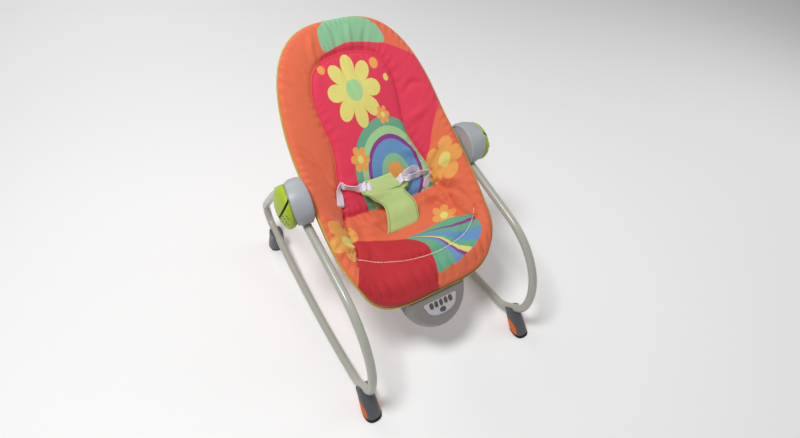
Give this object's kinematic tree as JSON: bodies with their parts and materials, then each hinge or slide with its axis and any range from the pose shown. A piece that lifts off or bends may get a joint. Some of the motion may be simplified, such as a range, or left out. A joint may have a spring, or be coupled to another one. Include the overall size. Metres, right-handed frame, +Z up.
{
  "type": "baby rocking chair",
  "caption": "Reclined padded seat that tilts between two bent tube side frames with curved rocking rails, turnable feet, a lap harness and a soothing unit in front.",
  "frame": {"origin": "on the floor, under the middle of the whole chair's bounding box", "axes": "+Z up, -Y is the front (the foot end of the seat), +X is the right-hand side seen from the front"},
  "size_m": [0.5126, 0.6168, 0.589],
  "materials": {
    "satin_grey_paint": "satin warm light grey paint on steel tube",
    "hub_grey_plastic": "fine matt light grey moulding",
    "lime_plastic": "semi-matt lime green moulding",
    "dark_grey_plastic": "fine matt dark grey moulding",
    "orange_rubber": "soft matt burnt orange",
    "black_rubber": "matt black",
    "zinc_steel": "bright zinc plating",
    "orange_cloth": "soft printed polyester, padded",
    "green_cloth": "pale green polyester, bound edges",
    "white_webbing": "off-white woven webbing",
    "unit_grey_plastic": "fine matt warm grey moulding",
    "plate_grey_plastic": "matt light grey plate",
    "button_brown_rubber": "matt brown-grey keys",
    "circuit_green": "green solder mask",
    "cell_wrap": "dark plain sleeve"
  },
  "bodies": {
    "frame": {"left_side_frame": "satin_grey_paint", "right_side_frame": "satin_grey_paint", "left_hub_shell": "hub_grey_plastic", "right_hub_shell": "hub_grey_plastic", "left_hub_cover": "lime_plastic", "right_hub_cover": "lime_plastic", "left_pivot_bolt": "zinc_steel", "right_pivot_bolt": "zinc_steel", "left_lug_rivet": "zinc_steel", "right_lug_rivet": "zinc_steel"},
    "seat": {"seat_frame_tube": "satin_grey_paint", "seat_pad": "orange_cloth", "left_tilt_bracket": "hub_grey_plastic", "right_tilt_bracket": "hub_grey_plastic", "left_bracket_screw": "zinc_steel", "right_bracket_screw": "zinc_steel", "crotch_strap": "green_cloth", "left_waist_strap": "white_webbing", "right_waist_strap": "white_webbing", "unit_front_shell": "unit_grey_plastic", "unit_rear_shell": "unit_grey_plastic", "label_plate": "plate_grey_plastic", "circuit_board": "circuit_green", "battery_cell": "cell_wrap", "vibration_motor": "zinc_steel", "left_unit_screw": "zinc_steel", "right_unit_screw": "zinc_steel"},
    "left_thumb": {"left_thumb_pad": "lime_plastic"},
    "right_thumb": {"right_thumb_pad": "lime_plastic"},
    "left_front_leg": {"left_front_foot": "dark_grey_plastic", "left_front_foot_tread": "orange_rubber", "left_front_foot_sole": "black_rubber"},
    "right_front_leg": {"right_front_foot": "dark_grey_plastic", "right_front_foot_tread": "orange_rubber", "right_front_foot_sole": "black_rubber"},
    "left_rear_leg": {"left_rear_foot": "dark_grey_plastic", "left_rear_foot_tread": "orange_rubber", "left_rear_foot_sole": "black_rubber"},
    "right_rear_leg": {"right_rear_foot": "dark_grey_plastic", "right_rear_foot_tread": "orange_rubber", "right_rear_foot_sole": "black_rubber"},
    "volume_down_key": {"button_volume_down": "button_brown_rubber"},
    "sound_key": {"button_sound": "button_brown_rubber"},
    "timer_key": {"button_timer": "button_brown_rubber"},
    "vibration_key": {"button_vibration": "button_brown_rubber"},
    "volume_up_key": {"button_volume_up": "button_brown_rubber"},
    "power_key": {"button_power": "button_brown_rubber"},
    "shaft_weight": {"motor_weight": "zinc_steel"},
    "hatch": {"battery_door": "unit_grey_plastic", "battery_door_screw": "zinc_steel"}
  },
  "joints": [
    {"name": "seat_tilt", "type": "hinge", "parent": "frame", "child": "seat", "pos_m": [0, 0.0389, 0.3645], "axis": [1, 0, 0], "range_deg": [0, 18]},
    {"name": "left_thumb_press", "type": "slide", "parent": "frame", "child": "left_thumb", "axis": [0, 0.8202, 0.5721], "range_m": [0, 0.003], "stiffness_N_per_m": 500},
    {"name": "right_thumb_press", "type": "slide", "parent": "frame", "child": "right_thumb", "axis": [0, 0.8202, 0.5721], "range_m": [0, 0.003], "stiffness_N_per_m": 500},
    {"name": "left_front_foot_turn", "type": "hinge", "parent": "frame", "child": "left_front_leg", "pos_m": [-0.2095, -0.24525, 0.0515], "axis": [0, 0.7132, -0.7009], "range_deg": [0, 180]},
    {"name": "right_front_foot_turn", "type": "hinge", "parent": "frame", "child": "right_front_leg", "pos_m": [0.2095, -0.24525, 0.0515], "axis": [0, -0.7132, 0.7009], "range_deg": [0, 180]},
    {"name": "left_rear_foot_turn", "type": "hinge", "parent": "frame", "child": "left_rear_leg", "pos_m": [-0.2095, 0.24553, 0.0598], "axis": [0, 0.9549, 0.2968], "range_deg": [0, 180]},
    {"name": "right_rear_foot_turn", "type": "hinge", "parent": "frame", "child": "right_rear_leg", "pos_m": [0.2095, 0.24553, 0.0598], "axis": [0, -0.9549, -0.2968], "range_deg": [0, 180]},
    {"name": "volume_down_press", "type": "slide", "parent": "seat", "child": "volume_down_key", "axis": [0, 0.7536, -0.6574], "range_m": [0, 0.0012], "stiffness_N_per_m": 400},
    {"name": "sound_press", "type": "slide", "parent": "seat", "child": "sound_key", "axis": [0, 0.7536, -0.6574], "range_m": [0, 0.0012], "stiffness_N_per_m": 400},
    {"name": "timer_press", "type": "slide", "parent": "seat", "child": "timer_key", "axis": [0, 0.7536, -0.6574], "range_m": [0, 0.0012], "stiffness_N_per_m": 400},
    {"name": "vibration_press", "type": "slide", "parent": "seat", "child": "vibration_key", "axis": [0, 0.7536, -0.6574], "range_m": [0, 0.0012], "stiffness_N_per_m": 400},
    {"name": "volume_up_press", "type": "slide", "parent": "seat", "child": "volume_up_key", "axis": [0, 0.7536, -0.6574], "range_m": [0, 0.0012], "stiffness_N_per_m": 400},
    {"name": "power_press", "type": "slide", "parent": "seat", "child": "power_key", "axis": [0, 0.7536, -0.6574], "range_m": [0, 0.0012], "stiffness_N_per_m": 400},
    {"name": "motor_weight_spin", "type": "hinge", "parent": "seat", "child": "shaft_weight", "pos_m": [0.0345, -0.15289, 0.13859], "axis": [1, 0, 0], "continuous": true},
    {"name": "battery_door_open", "type": "hinge", "parent": "seat", "child": "hatch", "pos_m": [-0.018, -0.12727, 0.12415], "axis": [-1, 0, 0], "range_deg": [0, 100]}
  ]
}
